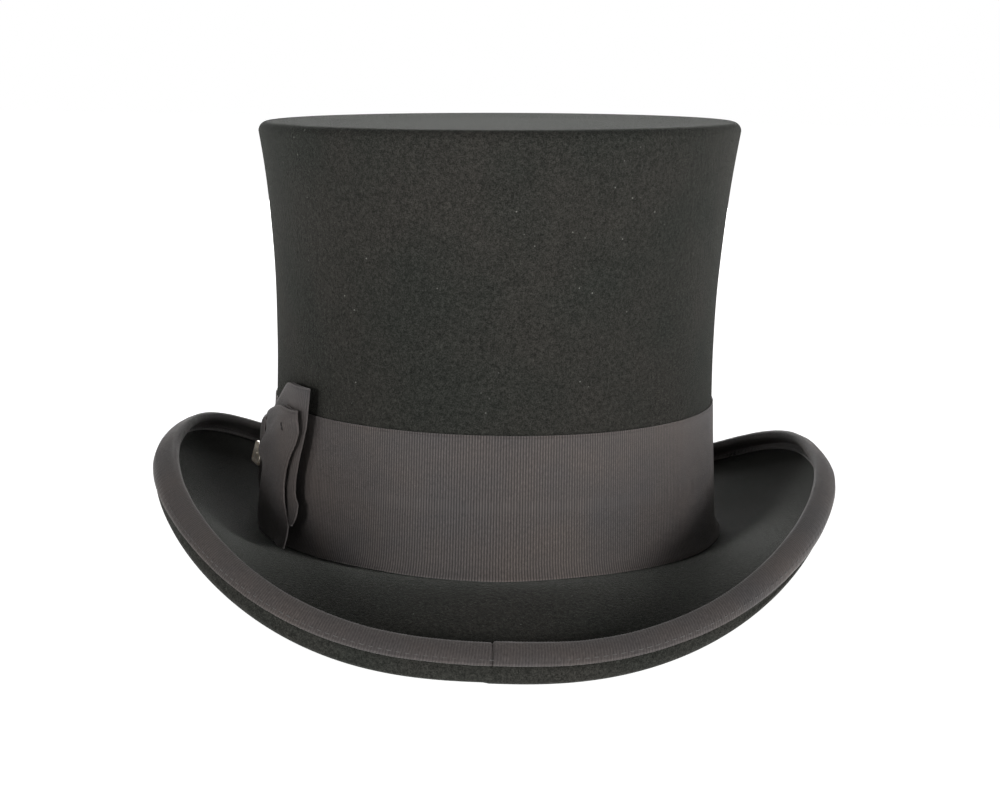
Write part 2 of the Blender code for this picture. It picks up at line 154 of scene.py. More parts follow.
def crown_half_width(level):
    """Half width of the felt's outside at a height above the headline."""
    below = np.clip(1 - np.asarray(level) / WAIST_LEVEL, 0, None)
    above = np.clip((np.asarray(level) - WAIST_LEVEL) / (CROWN_HEIGHT - WAIST_LEVEL), 0, None)
    return WAIST_HALF_WIDTH + FOOT_FLARE * below**2 + TIP_FLARE * above**2


def oval(half_width, turn, level, share=1.0):
    """Points of head-shaped rings, or of rings shrunk towards their centre by share."""
    x = share * half_width * np.cos(turn)
    y = share * (half_width + OVAL_EXTRA) * np.sin(turn)
    return np.stack(np.broadcast_arrays(x, y, np.asarray(level) + HEADLINE), axis=-1)


def brim_ring(ring, turn):
    """Points of one of the brim's control rings, a rounded rectangle that rises at the sides."""
    half_width, half_length, front, side = ring
    across, along = np.abs(np.cos(turn)), np.abs(np.sin(turn))
    reach = (across**SQUARENESS + along**SQUARENESS) ** (-1 / SQUARENESS)
    rise = (reach * across) ** SADDLE_POWER
    sideways = reach * np.cos(turn)
    level = front + (side - front) * rise - LEFT_LIFT * sideways
    return np.stack([half_width * sideways, half_length * reach * np.sin(turn), level], axis=-1)


def bezier(a, b, c, d, share):
    t = share[..., None]
    return a * (1 - t)**3 + 3 * b * (1 - t)**2 * t + 3 * c * (1 - t) * t**2 + d * t**3


def brim_middle(turn, share):
    """The middle of the brim's felt: share 0 is at the crown, 1 at the roll and 2 at the lip."""
    turn, share = np.broadcast_arrays(turn, share)
    upright = np.array([0.0, 0.0, 1.0])
    foot = crown_half_width(0.0)
    start_level = -GAP - BRIM_FELT / 2 - HEADLINE
    start = oval(foot, turn, start_level)
    shoulder = oval(foot + BRIM_SHOULDER, turn, start_level)
    roll = brim_ring(ROLL, turn)
    lip = brim_ring(LIP, turn) + np.array([LIP_SHIFT, 0.0, 0.0])
    front = np.abs(np.sin(turn))
    rounding = ROLL_ROUNDING_FRONT * front + ROLL_ROUNDING_SIDE * (1 - front)
    below = roll - rounding[..., None] * upright
    flat = bezier(start, shoulder, below, roll, np.clip(share, 0, 1))
    rise = (lip - roll)[..., 2:] * upright
    lean = np.stack([np.cos(turn), np.sin(turn), np.zeros(turn.shape)], axis=-1) * LIP_LEAN
    above, before = roll + rise * CURL_START, lip + lean - rise * CURL_END
    curl = bezier(roll, above, before, lip, np.clip(share - 1, 0, 1))
    made = np.where(share[..., None] <= 1, flat, curl)
    made[..., 2] += HEADLINE
    return made


def unit(vectors):
    return vectors / np.maximum(np.linalg.norm(vectors, axis=-1, keepdims=True), 1e-12)


def brim_frame(turn, share):
    """(point, direction towards the lip, direction out of the upper face)."""
    step = 0.002
    turn, share = np.broadcast_arrays(turn, share)
    ahead = np.where(share > 1.5, share, share + step)
    behind = np.where(share > 1.5, share - step, share)
    outward = unit(brim_middle(turn, ahead) - brim_middle(turn, behind))
    around = brim_middle(turn + step, share) - brim_middle(turn - step, share)
    return brim_middle(turn, share), outward, unit(np.cross(outward, around))


def brim_face(turn, share, height):
    point, _, upper = brim_frame(turn, share)
    return point + upper * np.asarray(height)[..., None]


def share_below_lip(turn, distance):
    """Where on the brim points lie this far from the lip; row k of distance goes with turn k."""
    shares = np.linspace(2, 0.5, 160)
    lines = brim_middle(turn[:, None], shares[None, :])
    steps = np.linalg.norm(np.diff(lines, axis=1), axis=2)
    gone = np.concatenate([np.zeros((len(turn), 1)), np.cumsum(steps, axis=1)], axis=1)
    return np.array([np.interp(d, g, shares) for d, g in zip(distance, gone)])


def even_turns(ring, count):
    """Angles that divide a closed ring into equal lengths, starting at the wearer's back."""
    fine = np.linspace(-pi / 2, -pi / 2 + tau, 2049)
    line = ring(fine)
    gone = np.append(0, np.cumsum(np.linalg.norm(np.diff(line, axis=0), axis=1)))
    return np.interp(np.arange(count) * gone[-1] / count, gone, fine)


def crown_turns(count):
    """Turns that part the crown's oval into equal lengths."""
    return even_turns(lambda t: oval(WAIST_HALF_WIDTH, t, 0.0), count)


def ring_length(ring):
    line = ring(np.linspace(0, tau, 2049))
    return np.linalg.norm(np.diff(line, axis=0), axis=1).sum()


def smooth(value, low=0.0, high=1.0):
    t = np.clip((value - low) / (high - low), 0, 1)
    return t * t * (3 - 2 * t)


def unevenness(seed, *coordinates):
    """Slow hand-made unevenness between about -1 and 1, the same for the same seed."""
    random = np.random.default_rng(seed)
    total = 0.0
    for order in (1, 2, 3, 5):
        phase = sum(c * order * random.uniform(0.6, 1.4) for c in coordinates)
        total = total + np.sin(phase + random.uniform(0, tau)) / order
    return total / 2


# ---------------------------------------------------------------- turning grids into pieces

def add_mesh(name, verts, faces, uvs, material):
    """uvs holds one (along, across) in metres for each corner of each face, or is None."""
    mesh = bpy.data.meshes.new(name)
    mesh.from_pydata(verts.tolist(), [], faces.tolist())
    if uvs is not None:
        layer = mesh.uv_layers.new(name="ribbon")
        layer.data.foreach_set("uv", np.asarray(uvs, np.float32).ravel())
    bm = bmesh.new()
    bm.from_mesh(mesh)
    bmesh.ops.remove_doubles(bm, verts=bm.verts, dist=1e-7)
    bmesh.ops.recalc_face_normals(bm, faces=bm.faces)
    bm.to_mesh(mesh)
    bm.free()
    mesh.shade_smooth()
    mesh.materials.append(material)
    made = bpy.data.objects.new(name, mesh)
    bpy.context.scene.collection.objects.link(made)
    return made


def lengths_along(line):
    """Distance gone at each point of a closed line, and once round."""
    return np.append(0, np.cumsum(np.linalg.norm(np.roll(line, -1, axis=0) - line, axis=-1)))


def grid_piece(name, points, material, close_along=True, close_across=False, along=None, across=None):
    """A piece whose faces join neighbouring points of the grid; its UVs are along and across."""
    n, m = points.shape[:2]
    i = np.arange(n if close_along else n - 1)
    j = np.arange(m if close_across else m - 1)
    ii, jj = np.meshgrid(i, j, indexing="ij")
    i2, j2 = (ii + 1) % n, (jj + 1) % m
    faces = np.stack([ii * m + jj, i2 * m + jj, i2 * m + j2, ii * m + j2], axis=-1).reshape(-1, 4)
    along = lengths_along(points[:, m // 2]) if along is None else along
    across = lengths_along(points[0]) if across is None else across
    corners = [(ii, jj), (ii + 1, jj), (ii + 1, jj + 1), (ii, jj + 1)]
    uvs = np.stack([np.stack([along[a], across[b]], axis=-1) for a, b in corners], axis=-2)
    return add_mesh(name, points.reshape(-1, 3), faces, uvs.reshape(-1, 2), material)


def grid_normals(points, close_along):
    """Unit normals of a grid, from the differences of neighbouring points."""
    if close_along:
        along = np.roll(points, -1, axis=0) - np.roll(points, 1, axis=0)
    else:
        along = np.gradient(points, axis=0)
    return unit(np.cross(along, np.gradient(points, axis=1)))


def thick_piece(name, middle, thickness, material, close_along=True, along=None):
    """A sheet of this thickness about a grid; the thickness may vary over the grid.

    The second UV is the distance from the sheet's nearer edge.
    """
    normals = grid_normals(middle, close_along)
    half = np.broadcast_to(np.asarray(thickness) / 2, middle.shape[:2])[..., None]
    front, back = middle + normals * half, middle - normals * half
    points = np.concatenate([front, back[:, ::-1]], axis=1)
    across = lengths_along(middle[0])[:-1]
    across = np.minimum(across, across[-1] - across)
    across = np.concatenate([across, across[::-1], across[:1]])
    made = grid_piece(name, points, material, close_along, True, along, across)
    if not close_along:
        cap_ends(made)
    return made


def cap_ends(piece):
    bm = bmesh.new()
    bm.from_mesh(piece.data)
    bmesh.ops.holes_fill(bm, edges=[e for e in bm.edges if e.is_boundary], sides=0)
    bm.to_mesh(piece.data)
    bm.free()


def ribbed(count, m, selvedge=2):
    """Thickness of a ribbed ribbon over a grid of count ribs, thin at its two woven edges."""
    phase = np.arange(count * RIB_STEPS) % RIB_STEPS / RIB_STEPS
    ribs = (0.5 + 0.5 * np.cos(tau * phase))[:, None] * np.ones((1, m))
    ribs[:, :selvedge] *= 0.35
    ribs[:, -selvedge:] *= 0.35
    return RIBBON + (ribs - 0.5) * RIB_HEIGHT


def ribbon_piece(name, surface, length, rows, material):
    """A closed ribbed ribbon. surface(along, across) gives points for shares from 0 to 1.

    rows are the shares across the ribbon where it has points.
    """
    ribs = round(length / RIB_PITCH)
    count = ribs * RIB_STEPS
    middle = surface(np.arange(count)[:, None] / count, rows[None, :])
    along = np.arange(count + 1) * RIB_PITCH / RIB_STEPS
    return thick_piece(name, middle, ribbed(ribs, len(rows)), material, along=along)


def edge_spaced(m):
    """m shares from 0 to 1 with two close rows at each end, for a ribbon's woven edges."""
    inner = np.linspace(0.03, 0.97, m - 2)
    return np.concatenate([[0.0], inner, [1.0]])


def tube(name, centre, radius, material, sides=10):
    """A round cord along a closed line of points."""
    tangent = unit(np.roll(centre, -1, axis=0) - np.roll(centre, 1, axis=0))
    side = unit(np.cross(tangent, np.array([0.0, 0.0, 1.0])))
    rise = np.cross(side, tangent)
    angle = np.linspace(0, tau, sides, endpoint=False)[None, :, None]
    points = centre[:, None] + radius * (side[:, None] * np.cos(angle) + rise[:, None] * np.sin(angle))
    return grid_piece(name, points, material, True, True)


# ---------------------------------------------------------------- stitches

def stitch_shape():
    """One stitch of two-ply thread along Z: an arched, twisted bar whose ends dip into the cloth."""
    length, rows, sides = STITCH_PITCH * 0.62, 9, 8
    along = np.linspace(-1, 1, rows)[:, None]
    angle = np.linspace(0, tau, sides, endpoint=False)[None, :] + along * 2.2
    taper = STITCH_RADIUS * np.sqrt(np.clip(1 - along**4, 0.04, 1)) * (1 + 0.16 * np.cos(2 * angle))
    x = taper * np.cos(angle) - STITCH_DIP * along**2
    y = taper * np.sin(angle)
    z = along * length / 2 + 0 * angle
    return np.stack([x, y, z], axis=-1)


def stitch_tree():
    """Sets a stitch on every point of a path, turned along it, with a little random length."""
    tree = bpy.data.node_groups.new("stitches", "GeometryNodeTree")
    face = tree.interface
    face.new_socket("Path", in_out="INPUT", socket_type="NodeSocketGeometry")
    face.new_socket("Stitch", in_out="INPUT", socket_type="NodeSocketObject")
    face.new_socket("Count", in_out="INPUT", socket_type="NodeSocketInt")
    face.new_socket("Seed", in_out="INPUT", socket_type="NodeSocketInt")
    face.new_socket("Material", in_out="INPUT", socket_type="NodeSocketMaterial")
    face.new_socket("Stitches", in_out="OUTPUT", socket_type="NodeSocketGeometry")
    nodes, links = tree.nodes, tree.links
    given = nodes.new("NodeGroupInput")
    spots = nodes.new("GeometryNodeCurveToPoints")
    spots.mode = "COUNT"
    source = nodes.new("GeometryNodeObjectInfo")
    size = nodes.new("FunctionNodeRandomValue")
    size.data_type = "FLOAT_VECTOR"
    size.inputs["Min"].default_value = (0.9, 0.9, 0.82)
    size.inputs["Max"].default_value = (1.1, 1.1, 1.12)
    place = nodes.new("GeometryNodeInstanceOnPoints")
    real = nodes.new("GeometryNodeRealizeInstances")
    paint = nodes.new("GeometryNodeSetMaterial")
    result = nodes.new("NodeGroupOutput")
    links.new(given.outputs["Path"], spots.inputs["Curve"])
    links.new(given.outputs["Count"], spots.inputs["Count"])
    links.new(given.outputs["Stitch"], source.inputs["Object"])
    links.new(given.outputs["Seed"], size.inputs["Seed"])
    links.new(spots.outputs["Points"], place.inputs["Points"])
    links.new(spots.outputs["Rotation"], place.inputs["Rotation"])
    links.new(source.outputs["Geometry"], place.inputs["Instance"])
    links.new(size.outputs["Value"], place.inputs["Scale"])
    links.new(place.outputs["Instances"], real.inputs["Geometry"])
    links.new(real.outputs["Geometry"], paint.inputs["Geometry"])
    links.new(given.outputs["Material"], paint.inputs["Material"])
    links.new(paint.outputs["Geometry"], result.inputs["Stitches"])
    return tree


def sew(name, line, pitch, material, closed=True, seed=1):
    """A row of stitches along a line of points, as one plain mesh."""
    curve = bpy.data.curves.new(name + "_path", "CURVE")
    curve.dimensions = "3D"
    spline = curve.splines.new("POLY")
    spline.points.add(len(line) - 1)
    spline.points.foreach_set("co", np.c_[line, np.ones(len(line))].astype(np.float32).ravel())
    spline.use_cyclic_u = closed
    path = bpy.data.objects.new(name + "_path", curve)
    bpy.context.scene.collection.objects.link(path)
    steps = np.linalg.norm(np.diff(line, axis=0), axis=1).sum()
    modifier = path.modifiers.new("stitches", "NODES")
    modifier.node_group = STITCHES
    values = {"Stitch": STITCH, "Count": int(steps / pitch), "Seed": seed, "Material": material}
    for item in STITCHES.interface.items_tree:
        if item.name in values:
            modifier[item.identifier] = values[item.name]
    evaluated = path.evaluated_get(bpy.context.evaluated_depsgraph_get())
    mesh = bpy.data.meshes.new_from_object(evaluated)
    mesh.name = name
    mesh.shade_smooth()
    bpy.data.objects.remove(path)
    made = bpy.data.objects.new(name, mesh)
    bpy.context.scene.collection.objects.link(made)
    return made


# ---------------------------------------------------------------- materials

class Shader:
    """A Principled material and short ways to add the nodes that feed it."""

    def __init__(self, name, **values):
        self.material = bpy.data.materials.new(name)
        self.material.use_nodes = True
        self.nodes = self.material.node_tree.nodes
        self.links = self.material.node_tree.links
        self.surface = self.nodes["Principled BSDF"]
        for key, value in values.items():
            self.surface.inputs[key.replace("_", " ")].default_value = value
        self.where = self.nodes.new("ShaderNodeTexCoord").outputs["Object"]

    def node(self, kind, sockets=(), **settings):
        made = self.nodes.new(kind)
        for key, value in settings.items():
            setattr(made, key, value)
        for key, value in dict(sockets).items():
            if isinstance(value, bpy.types.NodeSocket):
                self.links.new(value, made.inputs[key])
            else:
                made.inputs[key].default_value = value
        return made

    def noise(self, scale, detail, roughness, where=None):
        sockets = {"Vector": where or self.where, "Scale": scale, "Detail": detail,
                   "Roughness": roughness}
        return self.node("ShaderNodeTexNoise", sockets).outputs["Fac"]

    def cells(self, scale, feature="F1"):
        sockets = {"Vector": self.where, "Scale": scale}
        return self.node("ShaderNodeTexVoronoi", sockets, feature=feature).outputs["Distance"]

    def stretched(self, scales, where=None):
        sockets = {"Vector": where or self.where, "Scale": scales}
        return self.node("ShaderNodeMapping", sockets).outputs["Vector"]

    def math(self, operation, a, b=0.0):
        return self.node("ShaderNodeMath", {0: a, 1: b}, operation=operation).outputs[0]

    def ramp(self, value, *stops):
        """Colours or greys, each given as (position, colour)."""
        made = self.node("ShaderNodeValToRGB", {"Fac": value})
        points = made.color_ramp.elements
        while len(points) < len(stops):
            points.new(0.5)
        for point, (position, colour) in zip(points, stops):
            point.position = position
            point.color = (*colour, 1) if hasattr(colour, "__len__") else (colour, colour, colour, 1)
        return made.outputs["Color"]

    def spread(self, value, low, high, to_low, to_high):
        sockets = {"Value": value, "From Min": low, "From Max": high, "To Min": to_low,
                   "To Max": to_high}
        return self.node("ShaderNodeMapRange", sockets).outputs["Result"]

    def tint(self, colour, factor, amount=1.0):
        """Multiplies a colour by a factor or another colour."""
        made = self.nodes.new("ShaderNodeMix")
        made.data_type = "RGBA"
        made.blend_type = "MULTIPLY"
        made.inputs["Factor"].default_value = amount
        for index, value in ((6, colour), (7, factor)):
            if isinstance(value, bpy.types.NodeSocket):
                self.links.new(value, made.inputs[index])
            else:
                made.inputs[index].default_value = (*value, 1)
        return made.outputs[2]

    def bump(self, height, distance, strength):
        sockets = {"Height": height, "Distance": distance, "Strength": strength}
        return self.node("ShaderNodeBump", sockets).outputs["Normal"]

    def done(self, colour, roughness, normal):
        for socket, value in (("Base Color", colour), ("Roughness", roughness), ("Normal", normal)):
            self.links.new(value, self.surface.inputs[socket])
        return self.material


def napped_felt():
    """Short-napped charcoal wool: a soft mottle, fine fibres, and pale lint here and there."""
    s = Shader("napped_felt", Sheen_Weight=0.30, Sheen_Roughness=0.28, Specular_IOR_Level=0.10)
    s.surface.inputs["Sheen Tint"].default_value = (0.66, 0.68, 0.64, 1)
    mottle = s.noise(780, 3, 0.7)
    fibres = s.noise(2400, 2, 0.7)
    base = s.ramp(mottle, (0.32, (0.0155, 0.0158, 0.0141)), (0.68, (0.0380, 0.0376, 0.0340)))
    base = s.tint(base, s.spread(fibres, 0.30, 0.70, 0.30, 1.70))
    cloud = s.ramp(s.noise(26, 3, 0.5), (0.35, (0.88, 0.93, 0.90)), (0.65, (1.10, 1.06, 1.04)))
    base = s.tint(base, cloud)
    lint = s.ramp(s.cells(230), (0.035, 1.0), (0.085, 0.0))
    rare = s.ramp(s.noise(75, 1, 0.5), (0.54, 0.0), (0.60, 1.0))
    flecks = s.math("MULTIPLY", lint, rare)
    base = s.node("ShaderNodeMix", {0: flecks, 6: base, 7: (0.19, 0.19, 0.175, 1)},
                  data_type="RGBA").outputs[2]
    height = s.math("ADD", s.math("MULTIPLY", mottle, 0.55), s.math("MULTIPLY", fibres, 0.45))
    rough = s.spread(fibres, 0.3, 0.7, 0.85, 1.0)
    return s.done(base, rough, s.bump(height, 0.0006, 0.8))


def grosgrain(name, rib_valley_shade, rib_crest_highlight, edge):
    """Ribbed charcoal ribbon: painted shade between the ribs and a painted highlight on their crests,
    paler along its woven edges.
    """
    s = Shader(name, Sheen_Weight=0.40, Sheen_Roughness=0.40, Specular_IOR_Level=0.30)
    s.surface.inputs["Sheen Tint"].default_value = (0.79, 0.77, 0.76, 1)
    ribbon = s.node("ShaderNodeUVMap", uv_map="ribbon").outputs["UV"]
    place = s.node("ShaderNodeSeparateXYZ", {"Vector": ribbon})
    sway = s.math("MULTIPLY", s.noise(1.0, 2, 0.5, s.stretched((260, 130, 1), ribbon)), 1.6)
    phase = s.math("MULTIPLY", place.outputs["X"], tau / RIB_PITCH)
    rib = s.math("COSINE", s.math("ADD", phase, s.math("SUBTRACT", sway, 0.8)))
    threads = s.noise(1.0, 2, 0.6, s.stretched((2600, 700, 1), ribbon))
    weave = s.noise(1.0, 1, 0.5, s.stretched((1100, 4200, 1), ribbon))
    base = s.ramp(threads, (0.25, (0.048, 0.042, 0.0405)), (0.75, (0.108, 0.0955, 0.091)))
    # painted shade in the grooves between the ribs and painted highlight on their crests, following
    # the rib phase
    base = s.tint(base, s.spread(rib, -1.0, 1.0, rib_valley_shade, rib_crest_highlight))
    cloud = s.ramp(s.noise(28, 3, 0.55), (0.3, (0.84, 0.88, 0.93)), (0.7, (1.16, 1.09, 1.04)))
    base = s.tint(base, cloud)
    base = s.tint(base, s.spread(place.outputs["Y"], 0.0003, 0.0007, edge, 1.0))
    height = s.math("ADD", s.math("MULTIPLY", weave, 0.7), s.math("MULTIPLY", threads, 0.3))
    rough = s.spread(threads, 0.3, 0.7, 0.50, 0.72)
    return s.done(base, rough, s.bump(height, 0.00025, 0.9))


def thread(name, colour):
    """Twisted sewing cotton."""
    s = Shader(name, Sheen_Weight=0.3, Specular_IOR_Level=0.3)
    fuzz = s.noise(5200, 2, 0.6)
    base = s.ramp(fuzz, (0.3, [c * 0.7 for c in colour]), (0.7, [c * 1.3 for c in colour]))
    return s.done(base, s.spread(fuzz, 0.3, 0.7, 0.55, 0.85), s.bump(fuzz, 0.0001, 0.8))


def sweatband_leather():
    """Smooth tan-brown hat leather with fine pores, creases and darker handled patches."""
    s = Shader("sweatband_leather", Specular_IOR_Level=0.45)
    pores = s.cells(1400)
    pebbles = s.cells(620, feature="DISTANCE_TO_EDGE")
    creases = s.noise(1.0, 4, 0.6, s.stretched((160, 160, 520)))
    worn = s.noise(16, 3, 0.55)
    base = s.ramp(worn, (0.32, (0.085, 0.036, 0.017)), (0.68, (0.165, 0.074, 0.033)))
    base = s.tint(base, s.ramp(pebbles, (0.0, 0.72), (0.16, 1.0)), 0.8)
    height = s.math("ADD", s.ramp(pebbles, (0.0, 0.0), (0.25, 0.7)), s.math("MULTIPLY", creases, 0.5))
    height = s.math("ADD", height, s.ramp(pores, (0.05, 0.0), (0.2, 0.3)))
    rough = s.spread(worn, 0.3, 0.7, 0.34, 0.52)
    return s.done(base, rough, s.bump(height, 0.00018, 0.7))


def lining_satin():
    """Black satin: long floats that catch the light."""
    s = Shader("lining_satin", Sheen_Weight=0.25, Sheen_Roughness=0.3, Specular_IOR_Level=0.55)
    ribbon = s.node("ShaderNodeUVMap", uv_map="ribbon").outputs["UV"]
    floats = s.noise(1.0, 2, 0.5, s.stretched((5200, 700, 1), ribbon))
    tone = s.noise(40, 3, 0.5)
    base = s.ramp(tone, (0.3, (0.016, 0.015, 0.019)), (0.7, (0.030, 0.028, 0.034)))
    rough = s.spread(floats, 0.3, 0.7, 0.22, 0.38)
    return s.done(base, rough, s.bump(floats, 0.00008, 0.6))


def pale_brass():
    """Light, slightly scratched brass."""
    s = Shader("pale_brass", Metallic=0.35)
    scratches = s.noise(1.0, 3, 0.7, s.stretched((900, 5200, 400)))
    tarnish = s.noise(420, 3, 0.6)
    base = s.ramp(tarnish, (0.30, (0.94, 0.78, 0.60)), (0.62, (1.0, 0.93, 0.80)))
    rough = s.spread(scratches, 0.3, 0.7, 0.22, 0.42)
    return s.done(base, rough, s.bump(scratches, 0.00006, 0.5))


# ---------------------------------------------------------------- felt

def felt_crown():
    """Crown felt from the middle of its inside, down the wall, round the foot and up to the tip."""
    def skin(depth, rows):
        edge = TIP_EDGE_RADIUS - depth
        shoulder = CROWN_HEIGHT - TIP_EDGE_RADIUS
        level = np.linspace(0.0, shoulder, rows)
        wall = np.c_[crown_half_width(level) - depth, level, np.ones(rows)]
        corner = wall[-1, 0] - edge
        angle = np.linspace(0, pi / 2, 9)[1:]
        bend = np.c_[corner + edge * np.cos(angle), shoulder + edge * np.sin(angle), np.ones(8)]
        share = np.linspace(1, 0, 14)[1:]
        sag = TIP_DISH * smooth(1 - share, 0, 0.35)
        tip = np.c_[np.full(13, corner), CROWN_HEIGHT - depth - sag, share]
        return np.vstack([wall, bend, tip])

    outside, inside = skin(0.0, 56), skin(FELT, 12)
    spots = np.vstack([inside[::-1], outside])
    turn = crown_turns(360)[:, None]
    half_width, level, share = spots[:, 0], spots[:, 1], spots[:, 2]
    soft = 0.00035 * unevenness(3, turn, level * 34) * smooth(level, 0.055, 0.08)
    points = oval(half_width + soft, turn, level, share)
    lean = smooth(level, BAND_WIDTH, CROWN_HEIGHT)
    points[..., 2] += TIP_TILT * lean * points[..., 0] / WAIST_HALF_WIDTH
    return grid_piece("crown_felt_body", points, FELT_LOOK)


def felt_brim():
    """Brim from its collar inside the crown, out over the upper face, round the lip and back."""
    turn = even_turns(lambda t: brim_ring(ROLL, t), 480)
    half = BRIM_FELT / 2
    share = np.concatenate([np.linspace(0, 1, 26), np.linspace(1, 2, 20)[1:]])
    grid = np.broadcast_to(share, (len(turn), len(share)))
    column = np.broadcast_to(turn[:, None], grid.shape)
    waves = 0.0005 * unevenness(8, 2 * column, 3 * grid) * smooth(grid, 0.2, 0.8)
    upper = brim_face(column, grid, half + waves)
    lower = brim_face(column, grid, -half + waves)
    point, outward, up = brim_frame(turn[:, None], np.full((len(turn), 1), 2.0))
    angle = np.linspace(0, pi, 7)[1:-1][None, :, None]
    lip = point + up * half * np.cos(angle) + outward * half * np.sin(angle)

    def collar(level, depth):
        half_width = crown_half_width(max(level, 0.0)) - FELT - GAP - depth
        return oval(half_width, turn[:, None], np.full(1, level))

    foot = -GAP - BRIM_FELT
    start = [collar(COLLAR_LEVEL, 0), collar(-GAP, 0)]
    end = [collar(foot, COLLAR_FELT / 2), collar(-GAP, COLLAR_FELT), collar(COLLAR_LEVEL, COLLAR_FELT)]
    points = np.concatenate([*start, upper, lip, lower[:, ::-1], *end], axis=1)
    return grid_piece("brim_felt_body", points, FELT_LOOK, True, True)


# ---------------------------------------------------------------- ribbons on the felt

def crown_band():
    """Band ribbon. Its foot spreads where the felt turns out into the brim."""
    def surface(along, across):
        turn = crown_turns(along.shape[0])[:, None]
        dip = 0.0004 * unevenness(5, 3 * turn)
        level = GAP + dip * (1 - across) + (BAND_WIDTH - GAP) * across
        bend = np.clip(1 - level / BAND_SPREAD_HEIGHT, 0, 1)
        out = BAND_SPREAD_OUT * (1 - np.sqrt(1 - 0.98 * bend**2))
        puff = 0.00025 * unevenness(6, 2 * turn, 60 * level)
        return oval(crown_half_width(level) + GAP + RIBBON / 2 + out + puff, turn, level)

    half_width = crown_half_width(BAND_MIDDLE) + GAP + RIBBON / 2
    length = ring_length(lambda t: oval(half_width, t, BAND_MIDDLE))
    return ribbon_piece("band_ribbon", surface, length, edge_spaced(16), BAND_LOOK), length


def binding_surface(turn, across, rise):
    """Points over the lip: across runs from the outer face's edge to the inner face's edge."""
    bend = pi * BINDING_RISE
    walk = across * (BINDING_OUTER + bend + BINDING_INNER)
    past_lip = walk - BINDING_OUTER
    off_lip = np.where(past_lip < 0, -past_lip, np.clip(past_lip - bend, 0, None))
    share = share_below_lip(turn[:, 0], off_lip)
    angle = np.clip(past_lip / BINDING_RISE, 0, pi)[..., None]
    point, outward, upper = brim_frame(np.broadcast_to(turn, share.shape), share)
    return point + rise[..., None] * (outward * np.sin(angle) - upper * np.cos(angle))


def brim_binding():
    """Ribbon folded over the lip, pulled in by its stitches, with a lap at the back."""
    length = ring_length(lambda t: brim_ring(LIP, t))
    width = BINDING_OUTER + pi * BINDING_RISE + BINDING_INNER

    def surface(along, across):
        turn = even_turns(lambda t: brim_ring(LIP, t), along.shape[0])[:, None]
        walk = np.minimum(across, 1 - across) * width
        pull = np.exp(-((walk - STITCH_INSET) / 0.0007) ** 2)
        pucker = pull * (0.00014 + 0.00008 * np.cos(tau * along * length / STITCH_PITCH))
        lap = (along * length + length / 2) % length - length / 2 + 0.0016 * (across - 0.3)
        over = 0.00030 * smooth(lap, 0.0, 0.0005) * (1 - smooth(lap, 0.010, 0.030))
        crease = 0.00070 * np.exp(-((lap + 0.0002) / 0.00040) ** 2)
        soft = 0.00016 * unevenness(11, 9 * turn, 3 * across)
        rise = BINDING_RISE + over + soft - pucker - crease
        wobble = across + 0.006 * unevenness(12, 11 * turn) * (1 - 2 * across)
        return binding_surface(turn, np.clip(wobble, 0, 1), rise)

    edge = np.array([0.0, 0.0006, STITCH_INSET, 0.0022])
    bend = BINDING_OUTER + pi * BINDING_RISE * np.linspace(0, 1, 6)
    rows = np.concatenate([edge, [0.0048], bend, [width - 0.0055], width - edge[::-1]]) / width
    return ribbon_piece("binding_ribbon", surface, length, rows, BINDING_LOOK), (width, length)


def binding_stitches(name, side, width):
    """Stitches near the binding's edge, on the inner face (side 1) or the outer face (-1)."""
    turn = even_turns(lambda t: brim_ring(LIP, t), 720)
    share = share_below_lip(turn, np.full((len(turn), 1), width - STITCH_INSET))[:, 0]
    height = side * (BRIM_FELT / 2 + GAP + RIBBON - 0.00006)
    line = brim_face(turn, share, np.full(len(turn), height))
    return sew(name, line, STITCH_PITCH, THREAD_LOOK, seed=20 + side)


# ---------------------------------------------------------------- bow and badge

def on_side(along, level, stand_off):
    """Points over the band on the wearer's left; along runs towards the front."""
    foot = crown_half_width(0.0)
    slope = (crown_half_width(BAND_WIDTH) - foot) / BAND_WIDTH
    half_width = foot + slope * level + GAP + RIBBON + stand_off
    return oval(half_width, pi - np.arcsin(along / (half_width + OVAL_EXTRA)), level)


def hoop_length(fold):
    """Length of ribbon in a hoop whose ends lie where fold says: there and back, on both sides."""
    return 4 * np.mean([reach for _, reach in fold])


def opened(along):
    return smooth(np.abs(along), KNOT_WIDTH / 2 - 0.002, KNOT_WIDTH / 2 + HOOP_OPENING)


def hollow(away, level, at_away, at_level, long, high):
    return np.exp(-(((away - at_away) / long) ** 2 + ((level - at_level) / high) ** 2))


def bow_folds(along, level):
    """What the front hoop's folds add: a ridge from its corner to the knot, hollows beside it."""
    away = np.abs(along)
    ridge_level = 0.0255 + (away - 0.012) * 0.42
    ridge = 0.0016 * np.exp(-((level - ridge_level) / 0.0036) ** 2) * smooth(away, 0.002, 0.020)
    foot = 0.0024 * hollow(away, level, 0.041, 0.012, 0.0075, 0.015)
    above = 0.0034 * hollow(away, level, 0.019, 0.0425, 0.012, 0.0075)
    below = 0.0065 * hollow(away, level, 0.018, 0.0125, 0.0120, 0.0100)
    return ridge + foot - above - below


